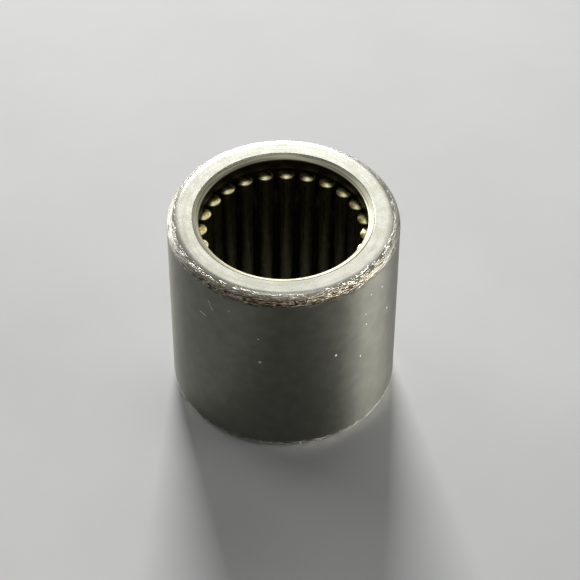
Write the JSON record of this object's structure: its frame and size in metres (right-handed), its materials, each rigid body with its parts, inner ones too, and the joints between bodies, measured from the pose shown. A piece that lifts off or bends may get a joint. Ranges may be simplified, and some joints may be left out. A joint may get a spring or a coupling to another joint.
{
  "type": "needle roller bearing",
  "caption": "Steel needle roller bearing: a ribbed cylindrical outer ring around long slim rollers in a pressed cage, which run directly on a shaft.",
  "frame": {"origin": "centre of the lower end face, on the bearing's axis", "axes": "+Z along the bearing's axis, from the lower end face to the upper one; X and Y are across it"},
  "size_m": [0.026, 0.026, 0.025],
  "materials": {
    "ring_steel": "ground satin steel, with rough unground corners",
    "cage_steel": "pressed steel strip, dull and oiled",
    "roller_steel": "polished hardened steel under an oil film"
  },
  "bodies": {
    "outer_ring": {"outer_ring": "ring_steel"},
    "cage": {"cage": "cage_steel"},
    "needle_roller_01": {"needle_roller_01": "roller_steel"},
    "needle_roller_02": {"needle_roller_02": "roller_steel"},
    "needle_roller_03": {"needle_roller_03": "roller_steel"},
    "needle_roller_04": {"needle_roller_04": "roller_steel"},
    "needle_roller_05": {"needle_roller_05": "roller_steel"},
    "needle_roller_06": {"needle_roller_06": "roller_steel"},
    "needle_roller_07": {"needle_roller_07": "roller_steel"},
    "needle_roller_08": {"needle_roller_08": "roller_steel"},
    "needle_roller_09": {"needle_roller_09": "roller_steel"},
    "needle_roller_10": {"needle_roller_10": "roller_steel"},
    "needle_roller_11": {"needle_roller_11": "roller_steel"},
    "needle_roller_12": {"needle_roller_12": "roller_steel"},
    "needle_roller_13": {"needle_roller_13": "roller_steel"},
    "needle_roller_14": {"needle_roller_14": "roller_steel"},
    "needle_roller_15": {"needle_roller_15": "roller_steel"},
    "needle_roller_16": {"needle_roller_16": "roller_steel"},
    "needle_roller_17": {"needle_roller_17": "roller_steel"},
    "needle_roller_18": {"needle_roller_18": "roller_steel"},
    "needle_roller_19": {"needle_roller_19": "roller_steel"},
    "needle_roller_20": {"needle_roller_20": "roller_steel"},
    "needle_roller_21": {"needle_roller_21": "roller_steel"},
    "needle_roller_22": {"needle_roller_22": "roller_steel"},
    "needle_roller_23": {"needle_roller_23": "roller_steel"},
    "needle_roller_24": {"needle_roller_24": "roller_steel"}
  },
  "joints": [
    {"name": "cage_orbit", "type": "hinge", "parent": "outer_ring", "child": "cage", "pos_m": [0, 0, 0.0125], "axis": [0, 0, 1], "continuous": true},
    {"name": "needle_roller_01_spin", "type": "hinge", "parent": "cage", "child": "needle_roller_01", "pos_m": [0.00949, -0.00033, 0.0125], "axis": [0, 0, 1], "continuous": true},
    {"name": "needle_roller_02_spin", "type": "hinge", "parent": "cage", "child": "needle_roller_02", "pos_m": [0.00926, 0.00214, 0.0125], "axis": [0, 0, 1], "continuous": true},
    {"name": "needle_roller_03_spin", "type": "hinge", "parent": "cage", "child": "needle_roller_03", "pos_m": [0.00839, 0.00446, 0.0125], "axis": [0, 0, 1], "continuous": true},
    {"name": "needle_roller_04_spin", "type": "hinge", "parent": "cage", "child": "needle_roller_04", "pos_m": [0.00695, 0.00648, 0.0125], "axis": [0, 0, 1], "continuous": true},
    {"name": "needle_roller_05_spin", "type": "hinge", "parent": "cage", "child": "needle_roller_05", "pos_m": [0.00503, 0.00806, 0.0125], "axis": [0, 0, 1], "continuous": true},
    {"name": "needle_roller_06_spin", "type": "hinge", "parent": "cage", "child": "needle_roller_06", "pos_m": [0.00278, 0.00908, 0.0125], "axis": [0, 0, 1], "continuous": true},
    {"name": "needle_roller_07_spin", "type": "hinge", "parent": "cage", "child": "needle_roller_07", "pos_m": [0.00033, 0.00949, 0.0125], "axis": [0, 0, 1], "continuous": true},
    {"name": "needle_roller_08_spin", "type": "hinge", "parent": "cage", "child": "needle_roller_08", "pos_m": [-0.00214, 0.00926, 0.0125], "axis": [0, 0, 1], "continuous": true},
    {"name": "needle_roller_09_spin", "type": "hinge", "parent": "cage", "child": "needle_roller_09", "pos_m": [-0.00446, 0.00839, 0.0125], "axis": [0, 0, 1], "continuous": true},
    {"name": "needle_roller_10_spin", "type": "hinge", "parent": "cage", "child": "needle_roller_10", "pos_m": [-0.00648, 0.00695, 0.0125], "axis": [0, 0, 1], "continuous": true},
    {"name": "needle_roller_11_spin", "type": "hinge", "parent": "cage", "child": "needle_roller_11", "pos_m": [-0.00806, 0.00503, 0.0125], "axis": [0, 0, 1], "continuous": true},
    {"name": "needle_roller_12_spin", "type": "hinge", "parent": "cage", "child": "needle_roller_12", "pos_m": [-0.00908, 0.00278, 0.0125], "axis": [0, 0, 1], "continuous": true},
    {"name": "needle_roller_13_spin", "type": "hinge", "parent": "cage", "child": "needle_roller_13", "pos_m": [-0.00949, 0.00033, 0.0125], "axis": [0, 0, 1], "continuous": true},
    {"name": "needle_roller_14_spin", "type": "hinge", "parent": "cage", "child": "needle_roller_14", "pos_m": [-0.00926, -0.00214, 0.0125], "axis": [0, 0, 1], "continuous": true},
    {"name": "needle_roller_15_spin", "type": "hinge", "parent": "cage", "child": "needle_roller_15", "pos_m": [-0.00839, -0.00446, 0.0125], "axis": [0, 0, 1], "continuous": true},
    {"name": "needle_roller_16_spin", "type": "hinge", "parent": "cage", "child": "needle_roller_16", "pos_m": [-0.00695, -0.00648, 0.0125], "axis": [0, 0, 1], "continuous": true},
    {"name": "needle_roller_17_spin", "type": "hinge", "parent": "cage", "child": "needle_roller_17", "pos_m": [-0.00503, -0.00806, 0.0125], "axis": [0, 0, 1], "continuous": true},
    {"name": "needle_roller_18_spin", "type": "hinge", "parent": "cage", "child": "needle_roller_18", "pos_m": [-0.00278, -0.00908, 0.0125], "axis": [0, 0, 1], "continuous": true},
    {"name": "needle_roller_19_spin", "type": "hinge", "parent": "cage", "child": "needle_roller_19", "pos_m": [-0.00033, -0.00949, 0.0125], "axis": [0, 0, 1], "continuous": true},
    {"name": "needle_roller_20_spin", "type": "hinge", "parent": "cage", "child": "needle_roller_20", "pos_m": [0.00214, -0.00926, 0.0125], "axis": [0, 0, 1], "continuous": true},
    {"name": "needle_roller_21_spin", "type": "hinge", "parent": "cage", "child": "needle_roller_21", "pos_m": [0.00446, -0.00839, 0.0125], "axis": [0, 0, 1], "continuous": true},
    {"name": "needle_roller_22_spin", "type": "hinge", "parent": "cage", "child": "needle_roller_22", "pos_m": [0.00648, -0.00695, 0.0125], "axis": [0, 0, 1], "continuous": true},
    {"name": "needle_roller_23_spin", "type": "hinge", "parent": "cage", "child": "needle_roller_23", "pos_m": [0.00806, -0.00503, 0.0125], "axis": [0, 0, 1], "continuous": true},
    {"name": "needle_roller_24_spin", "type": "hinge", "parent": "cage", "child": "needle_roller_24", "pos_m": [0.00908, -0.00278, 0.0125], "axis": [0, 0, 1], "continuous": true}
  ],
  "couplings": [
    {"joint": "needle_roller_01_spin", "follows": "cage_orbit", "ratio": -10.5},
    {"joint": "needle_roller_02_spin", "follows": "cage_orbit", "ratio": -10.5},
    {"joint": "needle_roller_03_spin", "follows": "cage_orbit", "ratio": -10.5},
    {"joint": "needle_roller_04_spin", "follows": "cage_orbit", "ratio": -10.5},
    {"joint": "needle_roller_05_spin", "follows": "cage_orbit", "ratio": -10.5},
    {"joint": "needle_roller_06_spin", "follows": "cage_orbit", "ratio": -10.5},
    {"joint": "needle_roller_07_spin", "follows": "cage_orbit", "ratio": -10.5},
    {"joint": "needle_roller_08_spin", "follows": "cage_orbit", "ratio": -10.5},
    {"joint": "needle_roller_09_spin", "follows": "cage_orbit", "ratio": -10.5},
    {"joint": "needle_roller_10_spin", "follows": "cage_orbit", "ratio": -10.5},
    {"joint": "needle_roller_11_spin", "follows": "cage_orbit", "ratio": -10.5},
    {"joint": "needle_roller_12_spin", "follows": "cage_orbit", "ratio": -10.5},
    {"joint": "needle_roller_13_spin", "follows": "cage_orbit", "ratio": -10.5},
    {"joint": "needle_roller_14_spin", "follows": "cage_orbit", "ratio": -10.5},
    {"joint": "needle_roller_15_spin", "follows": "cage_orbit", "ratio": -10.5},
    {"joint": "needle_roller_16_spin", "follows": "cage_orbit", "ratio": -10.5},
    {"joint": "needle_roller_17_spin", "follows": "cage_orbit", "ratio": -10.5},
    {"joint": "needle_roller_18_spin", "follows": "cage_orbit", "ratio": -10.5},
    {"joint": "needle_roller_19_spin", "follows": "cage_orbit", "ratio": -10.5},
    {"joint": "needle_roller_20_spin", "follows": "cage_orbit", "ratio": -10.5},
    {"joint": "needle_roller_21_spin", "follows": "cage_orbit", "ratio": -10.5},
    {"joint": "needle_roller_22_spin", "follows": "cage_orbit", "ratio": -10.5},
    {"joint": "needle_roller_23_spin", "follows": "cage_orbit", "ratio": -10.5},
    {"joint": "needle_roller_24_spin", "follows": "cage_orbit", "ratio": -10.5}
  ]
}
